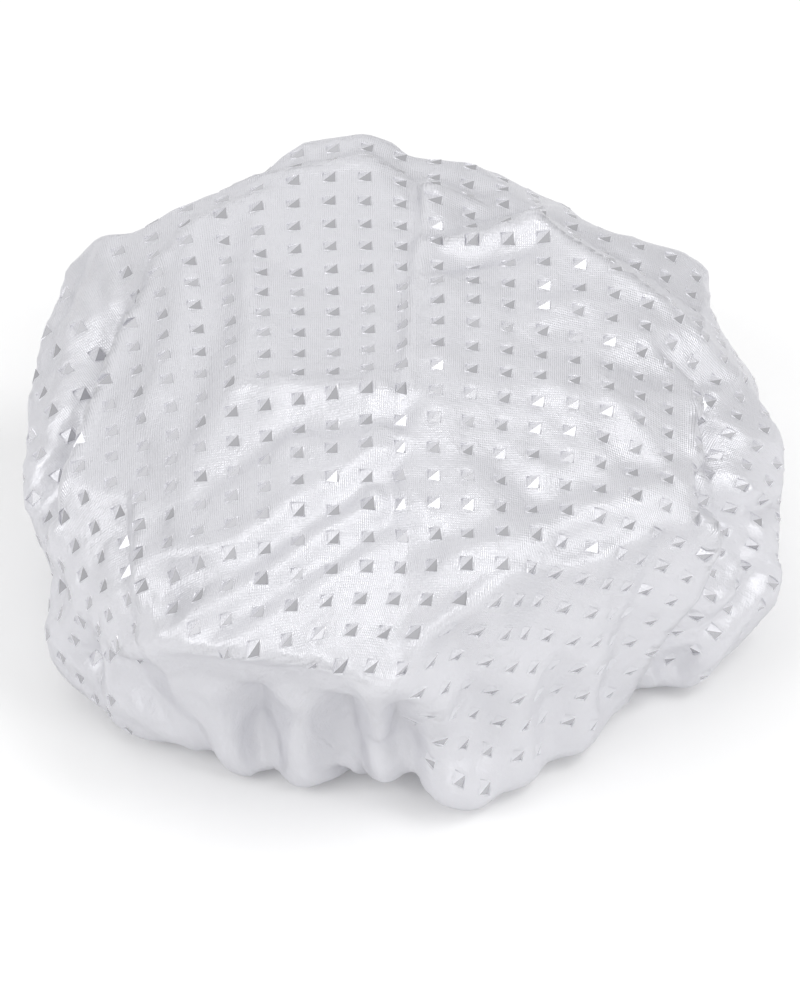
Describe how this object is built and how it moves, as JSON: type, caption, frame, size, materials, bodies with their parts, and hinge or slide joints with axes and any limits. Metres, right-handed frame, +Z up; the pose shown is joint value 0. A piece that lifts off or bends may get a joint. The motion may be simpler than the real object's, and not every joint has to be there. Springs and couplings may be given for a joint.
{
  "type": "shower cap",
  "caption": "Puffed white shower cap of embossed film, its rim gathered into a casing with a flat elastic band; the front of the mouth stretches forward.",
  "frame": {"origin": "on the surface that the cap stands on, under the middle of its outline", "axes": "+X to the wearer's side along the widest extent, -Y towards the front of the cap, +Z up out of the mouth into the crown"},
  "size_m": [0.2486, 0.241, 0.1125],
  "materials": {
    "film": "satin white film with a fine rib and raised square studs",
    "casing": "thin white folded film strip, gathered",
    "elastic": "matt white knitted elastic",
    "thread": "white polyester sewing thread"
  },
  "bodies": {
    "cap": {"crown_film": "film", "hem_casing_back": "casing", "elastic_band": "elastic", "elastic_tack": "thread", "hem_thread": "thread"},
    "front_hem": {"hem_casing_front": "casing"}
  },
  "joints": [
    {"name": "mouth_stretch", "type": "slide", "parent": "cap", "child": "front_hem", "axis": [0, -1, 0], "range_m": [0, 0.064], "stiffness_N_per_m": 60, "deforming": ["crown_film", "elastic_band", "hem_thread"]}
  ]
}
